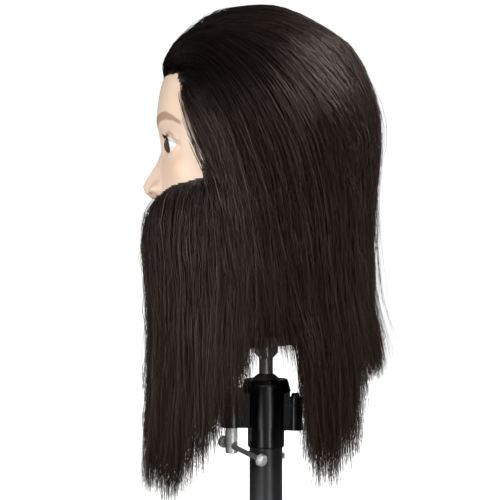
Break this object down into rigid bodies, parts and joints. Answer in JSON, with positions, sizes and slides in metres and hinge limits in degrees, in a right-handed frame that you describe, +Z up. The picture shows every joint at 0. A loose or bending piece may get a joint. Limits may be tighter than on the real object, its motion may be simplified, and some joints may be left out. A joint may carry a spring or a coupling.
{
  "type": "mannequin training head",
  "caption": "Hairdressing practice head with long straight hair and beard on a ball-joint clamp holder with T-screw and pole stub.",
  "frame": {"origin": "on the pole's axis, at the mouth of the bush bore in the pole's lower end", "axes": "+Z up along the pole, the face looks towards -Y, the head's own left side is +X"},
  "size_m": [0.184, 0.217, 0.481],
  "materials": {
    "bush_nylon": "matte",
    "pole_black": "satin",
    "zinc_steel": "satin",
    "black_steel": "gloss",
    "socket_black": "gloss",
    "seat_nylon": "matte",
    "chrome": "polished",
    "bar_steel": "satin",
    "ball_grey": "satin",
    "peg_brown": "satin",
    "neck_black": "matte",
    "skin": "satin",
    "eye_acrylic": "gloss",
    "lash_fibre": "matte",
    "hair_fibre": "satin"
  },
  "bodies": {
    "stand": {"pole_bush": "bush_nylon", "pole_tube": "pole_black", "cross_rivet": "zinc_steel", "socket_body": "socket_black", "upper_seat": "seat_nylon", "socket_cap": "socket_black", "cap_bolt": "black_steel", "cap_washer": "black_steel", "cap_nut": "zinc_steel", "clamp_nut": "zinc_steel"},
    "ball_seat": {"lower_seat": "seat_nylon"},
    "head": {"ball": "ball_grey", "tie_bolt": "zinc_steel", "tie_nut": "zinc_steel", "peg": "peg_brown", "neck_socket": "neck_black", "head_shell": "skin", "eye_left": "eye_acrylic", "eye_right": "eye_acrylic", "lashes_left": "lash_fibre", "lashes_right": "lash_fibre", "hair_cap": "hair_fibre", "moustache": "hair_fibre", "hair_back": "hair_fibre", "hair_back_left": "hair_fibre", "hair_back_right": "hair_fibre", "hair_side_left": "hair_fibre", "hair_side_right": "hair_fibre", "beard_front": "hair_fibre", "beard_left": "hair_fibre", "beard_right": "hair_fibre"},
    "thrust": {"thrust_washer": "zinc_steel"},
    "screw": {"clamp_screw": "chrome"},
    "bar": {"tommy_bar": "bar_steel", "bar_cap_near": "chrome", "bar_cap_far": "chrome"}
  },
  "joints": [
    {"name": "ball_pan", "type": "hinge", "parent": "stand", "child": "ball_seat", "pos_m": [0, 0, 0.137], "axis": [0, 0, 1], "continuous": true},
    {"name": "ball_tilt", "type": "hinge", "parent": "ball_seat", "child": "head", "pos_m": [0, 0, 0.137], "axis": [1, 0, 0], "range_deg": [-25, 25], "deforming": ["hair_back", "hair_back_left", "hair_back_right", "hair_side_left", "hair_side_right", "beard_front", "beard_left", "beard_right"]},
    {"name": "screw_travel", "type": "slide", "parent": "stand", "child": "thrust", "axis": [0, 0, 1], "range_m": [-0.000937, 0]},
    {"name": "screw_turn", "type": "hinge", "parent": "thrust", "child": "screw", "pos_m": [0, -0.031, 0.0852], "axis": [0, 0, 1], "range_deg": [-270, 0]},
    {"name": "bar_slide", "type": "slide", "parent": "screw", "child": "bar", "axis": [0.687, 0.687, -0.2368], "range_m": [-0.0285, 0]}
  ],
  "couplings": [
    {"joint": "screw_turn", "follows": "screw_travel", "rad_per_m": 5026.5}
  ]
}
